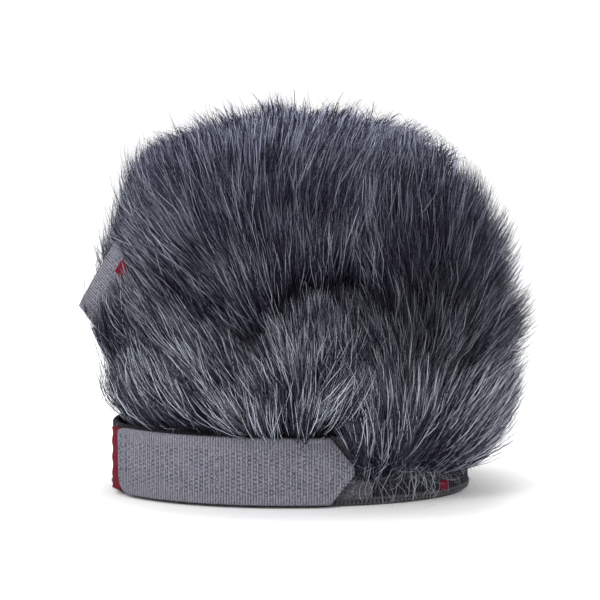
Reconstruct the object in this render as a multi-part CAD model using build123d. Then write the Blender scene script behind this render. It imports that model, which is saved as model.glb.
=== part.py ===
"""Furry windscreen: a slip-on fur hood with a knitted mouth band, closed by a hook-and-loop strap.

Millimetres, +Z up. The origin is the middle of the mouth rim, and the strap is on the -Y side.
The fur panels are drawn as plain solids of the backing cloth with its combed pile.
"""
import os
from math import cos, radians, sin

from build123d import *

# mouth band, an ellipse seen from above
BAND_HALF_WIDTH = 54.0
BAND_HALF_DEPTH = 35.0
BAND_HEIGHT = 21.0
BAND_THICKNESS = 1.8
OVERLOCK_HEIGHT = 2.0
OVERLOCK_PROUD = 0.5

# closing strap, hook tape with a pointed tip
STRAP_WIDTH = 20.0
STRAP_THICKNESS = 1.2
STRAP_STANDOFF = 1.4
STRAP_BOTTOM = 1.0
STRAP_TIP_X = 19.7
STRAP_POINT_LENGTH = 8.0
STRAP_ROOT_ANGLES = (196.5, 202.5)
STRAP_MIDDLE_END_ANGLE = 254.0
HINGE_GAP = 0.5

# loop tape that the strap closes on
LOOP_PATCH_X = (-8.0, 24.0)
LOOP_PATCH_THICKNESS = 0.9

# fur hood: height, half width, half depth, and sideways shift of each level
FUR_LEVELS = [
    (21.6, 54.5, 36.5, 0.5), (34.0, 57.5, 42.0, 2.5), (48.0, 60.0, 45.5, 4.5),
    (64.0, 61.0, 47.0, 5.5), (78.5, 59.5, 45.0, 5.0), (89.5, 55.5, 41.5, 4.5),
    (99.0, 49.0, 36.5, 4.0), (106.0, 39.5, 29.5, 3.5), (111.0, 27.5, 20.5, 3.0),
    (114.0, 14.0, 10.5, 3.0),
]
BACKING_LEVELS = [
    (21.6, 50.0, 32.0, 0.5), (40.0, 51.0, 34.5, 1.5), (60.0, 52.0, 36.0, 2.0),
    (74.5, 50.0, 34.5, 2.0), (85.0, 45.5, 31.5, 2.0), (93.0, 39.0, 27.0, 2.0),
    (99.0, 30.0, 20.5, 2.0), (102.5, 18.5, 12.5, 2.0), (104.2, 9.0, 6.2, 2.0),
]
TIER_SEAM_Z = 66.0
CROWN_SEAM_Z = 90.0
SEAM_GAP = 0.4
CORNER_SEAM_ANGLE = 307.0
CORNER_PANEL_BOTTOM = 7.0
CORNER_PANEL_THICKNESS = 7.0

# spacer-cloth lining
LINING_THICKNESS = 1.2
LINING_CLEARANCE = 0.4
LINING_BOTTOM = 4.0

# side tab, a second short length of the same tape
TAB_LENGTH = 16.6
TAB_WIDTH = 20.0
TAB_ROOT_LENGTH = 8.0
TAB_END_CORNER = (-63.8, -7.0, 56.4)
TAB_LENGTH_DIRECTION = (-0.492, 0.308, -0.814)
TAB_FACE_DIRECTION = (-0.62, -0.78, 0.08)

THREAD = 0.5


def band_outline(grow):
    """Return the mouth ellipse grown outward by a distance."""
    return Ellipse(BAND_HALF_WIDTH + grow, BAND_HALF_DEPTH + grow)


def band_layer(inner, outer, bottom, top):
    """Return an upright ring lying between two distances out from the band's face."""
    ring = band_outline(outer) - band_outline(inner)
    return Pos(0, 0, bottom) * extrude(ring, amount=top - bottom)


def wedge(start, end, bottom=-20.0, top=150.0, reach=200.0):
    """Return an upright wedge between two directions, in degrees round the Z axis."""
    steps = max(2, int(abs(end - start) // 40) + 2)
    angles = [radians(start + (end - start) * i / (steps - 1)) for i in range(steps)]
    points = [(0, 0)] + [(reach * cos(a), reach * sin(a)) for a in angles]
    return Pos(0, 0, bottom) * extrude(make_face(Polyline(*points, close=True)), amount=top - bottom)


def slab(bottom, top):
    """Return a wide flat block between two heights."""
    return Pos(0, 0, (bottom + top) / 2) * Box(300, 300, top - bottom)


def lofted_hood(levels, shrink=0.0, drop=0.0):
    """Return a solid dome lofted through elliptical levels, shrunk inward if asked."""
    rings = [
        Pos(shift, 0, z - drop * i / (len(levels) - 1)) * Ellipse(wide - shrink, deep - shrink)
        for i, (z, wide, deep, shift) in enumerate(levels)
    ]
    return loft(rings)


def band_half(start, end):
    """Return one half of the knitted mouth band."""
    ring = band_layer(-BAND_THICKNESS, 0, OVERLOCK_HEIGHT, BAND_HEIGHT)
    return ring & wedge(start, end)


def overlock_half(start, end):
    """Return the overlocked lower edge of one half of the band."""
    ring = band_layer(-BAND_THICKNESS - OVERLOCK_PROUD, OVERLOCK_PROUD, 0, OVERLOCK_HEIGHT)
    return ring & wedge(start, end)


def tape(start, end):
    """Return a length of strap tape laid round the band between two directions."""
    inner = STRAP_STANDOFF
    ring = band_layer(inner, inner + STRAP_THICKNESS, STRAP_BOTTOM, STRAP_BOTTOM + STRAP_WIDTH)
    return ring & wedge(start, end)


def strap_root():
    """Return the sewn end of the strap, with its lower corner cut round."""
    middle_angle = sum(STRAP_ROOT_ANGLES) / 2
    block = tape(*STRAP_ROOT_ANGLES)
    foot = band_layer(0, STRAP_STANDOFF, STRAP_BOTTOM + 6, STRAP_BOTTOM + STRAP_WIDTH - 2)
    return block + (foot & wedge(STRAP_ROOT_ANGLES[0] + 1, middle_angle))


def strap_point(block):
    """Cut the free end of the strap to a point."""
    mid_z = STRAP_BOTTOM + STRAP_WIDTH / 2
    shoulder = STRAP_TIP_X - STRAP_POINT_LENGTH
    outline = make_face(Polyline(
        (-60, -5), (shoulder, -5), (shoulder, STRAP_BOTTOM), (STRAP_TIP_X, mid_z),
        (shoulder, STRAP_BOTTOM + STRAP_WIDTH), (shoulder, 40), (-60, 40), close=True))
    cutter = extrude(Plane.XZ * outline, amount=80)
    return block & cutter


def strap_parts():
    """Return the sewn root, the free middle and the pointed tip of the strap."""
    gap = HINGE_GAP
    middle = tape(STRAP_ROOT_ANGLES[1] + gap, STRAP_MIDDLE_END_ANGLE)
    tip = strap_point(tape(STRAP_MIDDLE_END_ANGLE + gap, 320))
    return strap_root(), middle, tip


def loop_patch():
    """Return the loop tape sewn on the front of the band under the strap tip."""
    ring = band_layer(0, LOOP_PATCH_THICKNESS, OVERLOCK_HEIGHT + 0.4, BAND_HEIGHT - 0.2)
    left, right = LOOP_PATCH_X
    return ring & Pos((left + right) / 2, -40, 10) * Box(right - left, 60, 60)


def front_thread(x_left, x_right, z_low, z_high, grow):
    """Return a rectangle of stitching standing just proud of a layer on the front of the band."""
    ring = band_layer(grow, grow + THREAD / 2, z_low, z_high)
    mid_x, mid_z = (x_left + x_right) / 2, (z_low + z_high) / 2
    outer = Pos(mid_x, -40, mid_z) * Box(x_right - x_left, 60, z_high - z_low)
    inner = Pos(mid_x, -40, mid_z) * Box(
        x_right - x_left - 2 * THREAD, 60, z_high - z_low - 2 * THREAD)
    return ring & (outer - inner)


def strap_root_thread():
    """Return the two rows of stitching that hold the strap's sewn end."""
    low, high = STRAP_BOTTOM + 1.5, STRAP_BOTTOM + STRAP_WIDTH - 1.5
    grow = STRAP_STANDOFF + STRAP_THICKNESS
    ring = band_layer(grow, grow + THREAD / 2, low, high)
    start, end = STRAP_ROOT_ANGLES
    rows = [ring & wedge(a, a + 0.5) for a in (start + 1.0, end - 1.5)]
    return Compound(children=rows)


def label(start, end, bottom, top, inner, outer):
    """Return a plain woven label lying on the band."""
    return band_layer(inner, outer, bottom, top) & wedge(start, end)


def lining_solid(shrink):
    """Return the inside of the hood with a straight skirt reaching down into the band."""
    base_z, wide, deep, shift = BACKING_LEVELS[0]
    skirt = extrude(Pos(shift, 0, 0) * Ellipse(wide - shrink, deep - shrink), amount=base_z)
    return skirt + lofted_hood(BACKING_LEVELS, shrink)


def side_lining():
    """Return the tube of spacer cloth inside the hood."""
    tube = lining_solid(LINING_CLEARANCE) - lining_solid(LINING_CLEARANCE + LINING_THICKNESS)
    return tube & slab(LINING_BOTTOM, CROWN_SEAM_Z - SEAM_GAP)


def crown_lining():
    """Return the dome of spacer cloth that closes the top of the lining."""
    shrink = LINING_CLEARANCE
    outer = lofted_hood(BACKING_LEVELS, shrink, drop=shrink)
    inner = lofted_hood(BACKING_LEVELS, shrink + LINING_THICKNESS, drop=shrink + LINING_THICKNESS)
    return (outer - inner) & slab(CROWN_SEAM_Z, 130)


def tab_plane(along, lift):
    """Return the plane of the tab, its origin moved along and off the tape."""
    face = Vector(*TAB_FACE_DIRECTION).normalized()
    length = Vector(*TAB_LENGTH_DIRECTION).normalized()
    length = (length - face * length.dot(face)).normalized()
    across = face.cross(length)
    corner = Vector(*TAB_END_CORNER) - length * TAB_LENGTH
    middle = corner - across * (TAB_WIDTH / 2) if across.Z > 0 else corner + across * (TAB_WIDTH / 2)
    return Plane(origin=middle + length * along + face * lift, x_dir=length, z_dir=face)


def tab_block(start, end, width, low, high):
    """Return a block in the tab's plane: from start to end along it, from low to high off it."""
    plane = tab_plane((start + end) / 2, (low + high) / 2)
    return plane.location * Box(end - start, width, high - low)


def tab_parts():
    """Return the side tab's sewn root, free end, label and stitching."""
    half = STRAP_THICKNESS / 2
    root = tab_block(-TAB_ROOT_LENGTH, -HINGE_GAP, TAB_WIDTH, -half, half)
    free = tab_block(0, TAB_LENGTH, TAB_WIDTH, -half, half)
    tag = tab_block(-6.5, -1.5, 8.0, half, half + 0.8)
    rows = [tab_block(at, at + THREAD, TAB_WIDTH - 3, half, half + THREAD / 2) for at in (-7.6,)]
    return root, free, tag, rows[0]


def tab_pocket():
    """Return the space the fur leaves round the side tab."""
    return tab_block(-TAB_ROOT_LENGTH - 1, TAB_LENGTH + 1.5, TAB_WIDTH + 2, -1.4, 40)


def fur_shell():
    """Return the whole fur hood above the band, hollow inside."""
    return lofted_hood(FUR_LEVELS) - lofted_hood(BACKING_LEVELS)


def corner_skirt():
    """Return the part of the corner panel that hangs down over the outside of the band."""
    low, high = CORNER_PANEL_BOTTOM, FUR_LEVELS[0][0]
    return band_layer(0.5, 0.5 + CORNER_PANEL_THICKNESS * 0.5, low, high + 1.0)


def fur_panels():
    """Return the six cut panels of the fur hood by name."""
    shell = fur_shell() - tab_pocket()
    gap = SEAM_GAP / 2
    lower = shell & slab(0, TIER_SEAM_Z - gap)
    upper = shell & slab(TIER_SEAM_Z + gap, CROWN_SEAM_Z - gap)
    crown = shell & slab(CROWN_SEAM_Z + gap, 140)
    seam = CORNER_SEAM_ANGLE
    turn = 0.25
    return {
        "fur_front_lower": lower & wedge(180 + turn, seam - turn),
        "fur_front_corner": (lower + corner_skirt()) & wedge(seam + turn, 360 - turn),
        "fur_back_lower": lower & wedge(turn, 180 - turn),
        "fur_front_upper": upper & wedge(180 + turn, 360 - turn),
        "fur_back_upper": upper & wedge(turn, 180 - turn),
        "fur_crown": crown,
    }


def build():
    """Return every separate piece of the windscreen by name."""
    root, middle, tip = strap_parts()
    tab_root, tab_free, tab_tag, tab_thread = tab_parts()
    left, right = LOOP_PATCH_X
    pieces = fur_panels()
    pieces.update({
        "lining_side": side_lining(),
        "lining_crown": crown_lining(),
        "band_front": band_half(180.3, 359.7),
        "band_back": band_half(0.3, 179.7),
        "overlock_front": overlock_half(180.3, 359.7),
        "overlock_back": overlock_half(0.3, 179.7),
        "strap_root": root,
        "strap_middle": middle,
        "strap_tip": tip,
        "strap_root_thread": strap_root_thread(),
        "loop_patch": loop_patch(),
        "loop_patch_thread": front_thread(left + 1, right - 1, 3.6, 19.6, LOOP_PATCH_THICKNESS),
        "label_side": label(193.4, 196.2, 2.6, 20.0, 0.1, 1.9),
        "label_corner": label(335.5, 338.5, 2.3, 5.4, 0.1, 0.7),
        "tab_root": tab_root,
        "tab_strap": tab_free,
        "tab_label": tab_tag,
        "tab_thread": tab_thread,
    })
    return pieces


if __name__ == "__main__":
    os.makedirs("parts", exist_ok=True)
    for name, shape in build().items():
        export_step(shape, os.path.join("parts", name + ".step"))
        box = shape.bounding_box()
        print(f"{name:20s} {shape.volume:10.1f} {len(shape.solids())} {box}")
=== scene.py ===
"""Furry windscreen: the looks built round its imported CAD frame.

The hood is a knitted backing cloth with a long combed pile, and the pile is real strands of hair.
The mouth band, the strap, the tab, the labels and the lining are surfaces worked out with numpy.
"""
from math import cos, degrees, pi, radians, sin

import bpy
import numpy as np
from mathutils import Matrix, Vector


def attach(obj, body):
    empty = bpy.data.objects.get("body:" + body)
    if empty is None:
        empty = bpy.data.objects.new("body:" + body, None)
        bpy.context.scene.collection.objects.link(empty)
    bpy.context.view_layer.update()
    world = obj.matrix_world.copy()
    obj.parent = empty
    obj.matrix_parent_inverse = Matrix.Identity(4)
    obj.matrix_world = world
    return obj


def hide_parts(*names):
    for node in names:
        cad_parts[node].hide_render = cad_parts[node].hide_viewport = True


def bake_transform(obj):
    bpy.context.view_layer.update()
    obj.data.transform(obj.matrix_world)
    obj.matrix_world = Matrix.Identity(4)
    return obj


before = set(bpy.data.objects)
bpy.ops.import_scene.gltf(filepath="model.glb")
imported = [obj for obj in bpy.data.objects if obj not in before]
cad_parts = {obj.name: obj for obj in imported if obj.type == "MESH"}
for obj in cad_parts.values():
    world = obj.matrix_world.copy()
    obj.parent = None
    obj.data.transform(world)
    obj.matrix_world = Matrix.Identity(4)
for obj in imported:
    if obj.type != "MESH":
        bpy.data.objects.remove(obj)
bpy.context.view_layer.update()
MM = 0.001
rng = np.random.default_rng(7)


# ---------------------------------------------------------------- camera, floor and light

def aim(obj, target):
    """Turn a camera or lamp so that it looks at a point."""
    obj.rotation_mode = "QUATERNION"
    obj.rotation_quaternion = (Vector(target) - obj.location).to_track_quat("-Z", "Y")


def add_camera(target, distance, elevation, azimuth, width_at_target):
    """Place the camera on a sphere round the target, with a lens that spans the given width there."""
    data = bpy.data.cameras.new("camera")
    camera = bpy.data.objects.new("camera", data)
    bpy.context.scene.collection.objects.link(camera)
    e, a = radians(elevation), radians(azimuth)
    back = Vector((sin(a) * cos(e), -cos(a) * cos(e), sin(e)))
    camera.location = Vector(target) + back * distance
    aim(camera, target)
    data.sensor_width = 36
    data.lens = 36 / (width_at_target / distance)
    data.clip_start, data.clip_end = 0.01, 20
    bpy.context.scene.camera = camera


add_camera(target=(0.0029, 0.0, 0.0572), distance=0.80, elevation=6.5, azimuth=0, width_at_target=0.1818)


def add_softbox(name, place, target, size, watts):
    """Hang a square soft light at a place, turned to the target."""
    data = bpy.data.lights.new(name, "AREA")
    data.size, data.energy = size, watts
    lamp = bpy.data.objects.new(name, data)
    bpy.context.scene.collection.objects.link(lamp)
    lamp.location = place
    aim(lamp, target)


def add_studio():
    """Set a pale world, a pale floor and three soft lights."""
    world = bpy.data.worlds.new("studio")
    bpy.context.scene.world = world
    world.use_nodes = True
    world.node_tree.nodes["Background"].inputs["Color"].default_value = (1.0, 1.0, 1.0, 1)
    world.node_tree.nodes["Background"].inputs["Strength"].default_value = 1.02
    add_softbox("key_light", (-0.45, -0.85, 0.75), (0, 0, 0.06), 0.35, 5.5)
    add_softbox("fill_light", (0.8, -0.7, 0.35), (0, 0, 0.06), 0.7, 1.5)
    add_softbox("top_light", (0.05, 0.15, 1.0), (0, 0, 0.08), 0.5, 5)
    bpy.context.scene.view_settings.view_transform = "Standard"
    mesh = bpy.data.meshes.new("floor")
    r = 4.0
    mesh.from_pydata([(-r, -r, 0), (r, -r, 0), (r, r, 0), (-r, r, 0)], [], [(0, 1, 2, 3)])
    floor = bpy.data.objects.new("floor", mesh)
    bpy.context.scene.collection.objects.link(floor)
    paint = bpy.data.materials.new("floor_white")
    paint.use_nodes = True
    shader = paint.node_tree.nodes["Principled BSDF"]
    shader.inputs["Base Color"].default_value = (0.99, 0.99, 0.99, 1)
    shader.inputs["Roughness"].default_value = 0.9
    mesh.materials.append(paint)


add_studio()


# ---------------------------------------------------------------- materials

class Nodes:
    """A short way to add and join the nodes of one material."""

    def __init__(self, name, roughness, **fixed):
        self.material = bpy.data.materials.new(name)
        self.material.use_nodes = True
        self.tree = self.material.node_tree
        self.shader = self.tree.nodes["Principled BSDF"]
        self.shader.inputs["Roughness"].default_value = roughness
        for socket, value in fixed.items():
            self.shader.inputs[socket.replace("_", " ")].default_value = value

    def add(self, kind, operation=None, **values):
        node = self.tree.nodes.new(kind)
        if operation:
            node.operation = operation
        for key, value in values.items():
            setattr(node, key, value)
        return node

    def link(self, out, socket):
        self.tree.links.new(out, socket)

    def maths(self, operation, a, b=None, clamp=False):
        """Return the output of a Math node on two values or outputs."""
        node = self.add("ShaderNodeMath", operation)
        node.use_clamp = clamp
        for socket, value in zip(node.inputs, (a, b)):
            if value is None:
                continue
            if isinstance(value, (int, float)):
                socket.default_value = value
            else:
                self.link(value, socket)
        return node.outputs[0]

    def ramp(self, factor, stops):
        """Return the colour of a ramp with stops of (position, colour)."""
        node = self.add("ShaderNodeValToRGB")
        band = node.color_ramp
        while len(band.elements) < len(stops):
            band.elements.new(0.5)
        for element, (position, colour) in zip(band.elements, stops):
            element.position, element.color = position, (*colour, 1)
        self.link(factor, node.inputs[0])
        return node.outputs[0]

    def mix(self, factor, a, b, blend="MIX"):
        """Return a colour mix of two colours or outputs."""
        node = self.add("ShaderNodeMix", data_type="RGBA", blend_type=blend)
        for socket, value in ((node.inputs[0], factor), (node.inputs[6], a), (node.inputs[7], b)):
            if isinstance(value, tuple):
                socket.default_value = (*value, 1)
            elif isinstance(value, (int, float)):
                socket.default_value = value
            else:
                self.link(value, socket)
        return node.outputs[2]

    def noise(self, scale, detail=2, vector=None):
        node = self.add("ShaderNodeTexNoise")
        node.inputs["Scale"].default_value = scale
        node.inputs["Detail"].default_value = detail
        self.link(vector or self.place(), node.inputs["Vector"])
        return node.outputs["Fac"]

    def place(self):
        if not hasattr(self, "_coordinates"):
            self._coordinates = self.add("ShaderNodeTexCoord")
        return self._coordinates.outputs["Object"]

    def uv(self, layer):
        """Return the two numbers of a UV layer."""
        source = self.add("ShaderNodeUVMap", uv_map=layer)
        split = self.add("ShaderNodeSeparateXYZ")
        self.link(source.outputs[0], split.inputs[0])
        return split.outputs[0], split.outputs[1]

    def bump(self, height, strength, distance):
        node = self.add("ShaderNodeBump")
        node.inputs["Strength"].default_value = strength
        node.inputs["Distance"].default_value = distance
        self.link(height, node.inputs["Height"])
        self.link(node.outputs[0], self.shader.inputs["Normal"])

    def colour(self, out):
        self.link(out, self.shader.inputs["Base Color"])
        return self.material


HAIR_MAP = "OFBake"


def hair_material():
    """Hair that is dark at its root. Across the map it goes from slate hairs to silver-tipped ones."""
    n = Nodes("fur_hair", 0.6, Specular_IOR_Level=0.0)
    shade, along = n.uv(HAIR_MAP)
    slate = n.ramp(along, [(0.0, (0.0025, 0.002, 0.004)), (0.4, (0.006, 0.005, 0.011)),
                           (1.0, (0.018, 0.015, 0.031))])
    silver = n.ramp(along, [(0.0, (0.005, 0.0045, 0.009)), (0.38, (0.045, 0.046, 0.064)),
                            (0.68, (0.385, 0.415, 0.49)), (1.0, (0.86, 0.91, 1.0))])
    split = n.add("ShaderNodeSeparateXYZ")
    n.link(n.place(), split.inputs[0])
    high = n.maths("MULTIPLY", n.maths("SUBTRACT", split.outputs[2], 0.065), 25, clamp=True)
    hair = n.mix(shade, slate, silver)
    return n.colour(n.mix(high, hair, n.mix(1.0, hair, (0.99, 0.99, 1.1), "MULTIPLY")))


def backing_material():
    """Dark knitted backing cloth with fine loops."""
    n = Nodes("fur_backing_knit", 0.85)
    speck = n.noise(1400, 3)
    n.bump(speck, 0.5, 0.0003)
    return n.colour(n.ramp(speck, [(0.3, (0.008, 0.008, 0.011)), (0.7, (0.024, 0.024, 0.03))]))


# ---------------------------------------------------------------- mesh helpers

def new_piece(name, vertices, quads, material, body="hood"):
    """Make a smooth mesh object from an (n, 3) array in millimetres and an (m, 4) array of quads."""
    mesh = bpy.data.meshes.new(name)
    mesh.vertices.add(len(vertices))
    mesh.vertices.foreach_set("co", (np.asarray(vertices, np.float32) * MM).ravel())
    mesh.loops.add(quads.size)
    mesh.loops.foreach_set("vertex_index", quads.astype(np.int32).ravel())
    mesh.polygons.add(len(quads))
    mesh.polygons.foreach_set("loop_start", np.arange(0, quads.size, 4, dtype=np.int32))
    mesh.polygons.foreach_set("use_smooth", np.ones(len(quads), bool))
    mesh.materials.append(material)
    mesh.update(calc_edges=True)
    obj = bpy.data.objects.new(name, mesh)
    bpy.context.scene.collection.objects.link(obj)
    if body:
        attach(obj, body)
    return obj


def unit(v):
    """Scale each row of an array of vectors to length one."""
    return v / np.maximum(np.linalg.norm(v, axis=-1, keepdims=True), 1e-9)


def smooth_step(t):
    """0 below 0, 1 above 1, and a smooth S between."""
    t = np.clip(t, 0, 1)
    return t * t * (3 - 2 * t)


def bell(x, z, x0, z0, wide, high):
    """A smooth hill of height one centred at (x0, z0)."""
    return np.exp(-((x - x0) / wide) ** 2 - ((z - z0) / high) ** 2)


# ---------------------------------------------------------------- hood surface

HOOD_WIDE, HOOD_DEEP, HOOD_SHIFT = 52, 36, 2
HOOD_FOOT, HOOD_WAIST, DOME_RISE, DOME_POWER = 21.6, 60, 44.2, 2.45
SKIRT_WIDE, SKIRT_DEEP = 55.6, 36.6
TIER_SEAM, CROWN_SEAM, CORNER_SEAM = 66, 90, 294


def hood_profile():
    """Return arrays of (length up the hood, half width, half depth, shift, height).

    The wall rises from the band as a shallow curve to its widest level. From there the hood closes
    as a superellipse, whose half width is the cosine and height the sine of an angle, each to a power.
    """
    rise = np.linspace(0, 1, 60)[:-1]
    low = (1 - rise) ** 2
    wall = np.stack([HOOD_WIDE - 2 * low, HOOD_DEEP - 4 * low, HOOD_SHIFT - 1.5 * low,
                     HOOD_FOOT + (HOOD_WAIST - HOOD_FOOT) * rise], 1)
    angle = np.linspace(0, pi / 2, 240)
    inward, upward = (wave(angle) ** (2 / DOME_POWER) for wave in (np.cos, np.sin))
    dome = np.stack([HOOD_WIDE * inward, HOOD_DEEP * inward, HOOD_SHIFT + 0 * angle,
                     HOOD_WAIST + DOME_RISE * upward], 1)
    rows = np.concatenate([wall, dome])
    step = np.hypot(np.diff(rows[:, 0] + rows[:, 1]) / 2, np.diff(rows[:, 3]))
    length = np.concatenate([[0], np.cumsum(step)])
    return np.column_stack([length, rows])


PROFILE = hood_profile()
UP_LENGTH = PROFILE[-1, 0]


def hood_levels(up):
    """Return half width, half depth, shift and height at each length up the hood."""
    return [np.interp(up, PROFILE[:, 0], PROFILE[:, i]) for i in (1, 2, 3, 4)]


def hood_point(turn, up):
    """A point of the backing: an ellipse at its height, at an angle round it."""
    wide, deep, shift, z = hood_levels(up)
    return np.stack([shift + wide * np.cos(turn), deep * np.sin(turn), z + 0 * turn], -1)


def hood_frame(turn, up):
    """Return point, outward normal, upward and rightward unit vectors (right as seen from outside)."""
    point = hood_point(turn, up)
    right = unit(hood_point(turn + 0.004, up) - hood_point(turn - 0.004, up))
    above = hood_point(turn, np.minimum(up + 0.4, UP_LENGTH - 0.05))
    below = hood_point(turn, np.minimum(up, UP_LENGTH - 0.5) - 0.4)
    rise = unit(above - below)
    normal = unit(np.cross(right, rise))
    return point, normal, unit(np.cross(normal, right)), right


def skirt_frame(turn, z):
    """The corner panel's cloth where it hangs outside the band: an upright ellipse."""
    point = np.stack([SKIRT_WIDE * np.cos(turn), SKIRT_DEEP * np.sin(turn), z], -1)
    normal = unit(np.stack([np.cos(turn) / SKIRT_WIDE, np.sin(turn) / SKIRT_DEEP, 0 * turn], -1))
    rise = np.zeros_like(point)
    rise[..., 2] = 1
    return point, normal, rise, np.cross(rise, normal)


# ---------------------------------------------------------------- how the pile is combed

def comb_angle(x, y, z, turn):
    """Degrees that the pile leans from straight up, positive to the right seen from outside.

    On the front it is swept left on the left side and right on the right side, with whorls
    between, each a smooth hill. On the back both sides lean in to the middle.
    """
    front = (-42 * smooth_step((26 - x) / 51) + 42 * smooth_step((x - 10) / 56)
             + 45 * bell(x, z, 4, 89, 27, 25) - 37 * bell(x, z, 37, 63, 22, 26)
             + 36 * bell(x, z, 8, 25, 14, 10) - 36 * bell(x, z, 25, 22, 8, 28)
             + 16 * bell(x, z, 28, 10, 9, 9) + 20 * bell(x, z, -38, 28, 20, 13)
             + 18 * bell(x, z, 4, 47, 9, 13))
    back = 42 * np.cos(turn) + 12 * np.sin(z / 14 + 3 * turn)
    return np.where(y < 0, front, front * (1 - smooth_step(y / 20)) + back * smooth_step(y / 20))


def silver_with_painted_shade_and_light(x, y, z):
    """How much silver shows, with painted shade and light: less in the parting across the front and in the
    right-hand hollow as painted shade, more low on the front as painted light.
    """
    # painted shade: the parting's furrow is darkened, over the dark roots that really show there
    front = 1 - 0.6 * bell(x, z, 0, 72, 22, 13) - 0.25 * bell(x, z, -4, 50, 14, 12)
    # painted shade in the right-hand hollow, and painted light low across the front where the pile shades
    # itself
    front = front - 0.66 * bell(x, z, 35, 58, 16, 20) + 0.3 * bell(x, z, -10, 24, 55, 10)
    front = front - 0.17 * smooth_step((-x - 15) / 20) * smooth_step((z - 28) / 15)
    front = front - 0.4 * bell(x, z, -18, 51, 11, 9) - 0.3 * bell(x, z, 29, 36, 9, 12)
    front = front + 0.12 * smooth_step((20 - z) / 3)
    front = front - 0.2 * smooth_step((z - 70) / 15) * smooth_step((-x - 5) / 20)
    fade = smooth_step((y + 5) / 25)
    return front * (1 - fade) + 0.85 * fade


def lean_out(x, z):
    """Degrees that the pile stands off the cloth on average: flat at the left, lifted at the right."""
    side = 13 + 12 * smooth_step((x + 45) / 45) + 13 * smooth_step((x - 20) / 40)
    return side * (0.6 + 0.4 * smooth_step((z - 20) / 25))


def hug(x, z):
    """Degrees that the tips bend back to the cloth: most at the left side and on the crown."""
    left = 26 * smooth_step((-x - 12) / 30) * (1 - 0.8 * smooth_step((z - 58) / 20))
    right = 10 * smooth_step((x - 20) / 20) * (1 - smooth_step((z - 80) / 15))
    return left - right + 16 * smooth_step((z - 80) / 20) + 6


def spring_out(z):
    """Extra degrees that the lowest rows on the hood stand out at the root, to clear the band."""
    return np.where(z > 21.7, 45 * (1 - smooth_step((z - 22) / 9)), 0)


def parting_height(x):
    """Height of the parting across the front: a notch left of the middle, falling away at the right."""
    notch = 17 * np.exp(-((x + 8) / 5.5) ** 2)
    return 61 - notch + 0.8 * np.maximum(-x - 18, 0) - 1.3 * np.maximum(x - 21, 0)


def trim_at_parting(x, y, z, length):
    """Shorten hairs rooted below the parting, so that their tips end about it and leave a furrow."""
    gap = parting_height(x) - z
    near = 0.95 * smooth_step((x + 25) / 8) * (1 - smooth_step((x - 20) / 12)) * (y < 0) * (gap > -1)
    short = np.maximum(gap * 1.05 + rng.uniform(-2, 9, len(x)), 6)
    return length * (1 - near) + np.minimum(length, short) * near


def outline_share(x, z):
    """Distance from the hood's middle over the distance to the clipped outline of its pile.

    Seen from the front the outline is four quarters of superellipses, squarer at the upper left.
    """
    across, up = x - 6, z - 54
    wide = np.where(across < 0, 60.5, 62)
    high = np.where(up > 0, 58.3, 59)
    power = np.where(up > 0, np.where(across < 0, 3.3, 1.88), np.where(across < 0, 6, 3.0))
    return ((np.abs(across) / wide) ** power + (np.abs(up) / high) ** power) ** (1 / power)


def clip_to_outline(paths):
    """Draw each strand back along itself where its tip would pass the outline.

    The limit differs from tuft to tuft and from hair to hair, so that the edge is ragged and thin.
    """
    root, tip = (outline_share(paths[:, k, 0], paths[:, k, 2]) for k in (0, -1))
    tuft = np.repeat(rng.normal(0, 0.035, len(paths) // HAIRS_PER_TUFT), HAIRS_PER_TUFT)
    x, z = paths[:, 0, 0], paths[:, 0, 2]
    ragged = 0.06 + 0.03 * smooth_step((x - 15) / 25) * smooth_step((z - 30) / 20)
    around = np.arctan2(paths[:, -1, 2] - 54, paths[:, -1, 0] - 6)
    wavy = 0.025 * np.sin(11 * around + 1) + 0.02 * np.sin(19 * around)
    limit = 0.955 + tuft + wavy + rng.normal(0, 1, len(paths)) * ragged
    limit = np.minimum(limit + 0.07 * bell(x, z, -50, 50, 12, 9), 1.14)
    share = np.clip((limit - root) / np.maximum(tip - root, 1e-3), 0.25, 1)
    near, far = np.abs(paths[:, 0, 1]), np.abs(paths[:, -1, 1])
    depth = np.clip((limit * 56 - near) / np.maximum(far - near, 1e-3), 0.25, 1)
    short = paths[:, :1] + (paths - paths[:, :1]) * np.minimum(share, depth)[:, None, None]
    short[..., 1] = np.clip(short[..., 1], -58.5, 58.5)
    short[..., 2] = np.maximum(short[..., 2], 0.3)
    return short


def crown_flow(direction, point, normal):
    """Turn the comb on the crown from towards the pole to outward and a little back."""
    flow = np.stack([point[..., 0] / 85, 0.75 + 0 * point[..., 0], 0 * point[..., 0]], -1)
    flow = unit(flow - normal * (flow * normal).sum(-1, keepdims=True))
    weight = smooth_step((normal[..., 2:] - 0.45) / 0.5)
    return unit(direction * (1 - weight) + flow * weight)


# ---------------------------------------------------------------- side tab's plane

def tab_axes():
    """Return the tab's along, across and facing unit vectors, square to each other."""
    facing = unit(np.array([-0.62, -0.78, 0.08]))
    along = np.array([-0.492, 0.308, -0.814])
    along = unit(along - facing * (along @ facing))
    return np.stack([along, np.cross(facing, along), facing])


TAB_LENGTH, TAB_WIDTH = 16.6, 20.0
TAB_AXES = tab_axes()
TAB_MIDDLE = np.array([-63.8, -7.0, 56.4]) - TAB_AXES[0] * TAB_LENGTH + TAB_AXES[1] * 10


# ---------------------------------------------------------------- pile strands

LOCKS = 1420
TUFTS_PER_LOCK = 5
HAIRS_PER_TUFT = 26
SKIRT_LOCKS = 150
JOINTS = 5
HAIRS_PER_PIECE = 24000
SHADE_COLUMNS = 48


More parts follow.
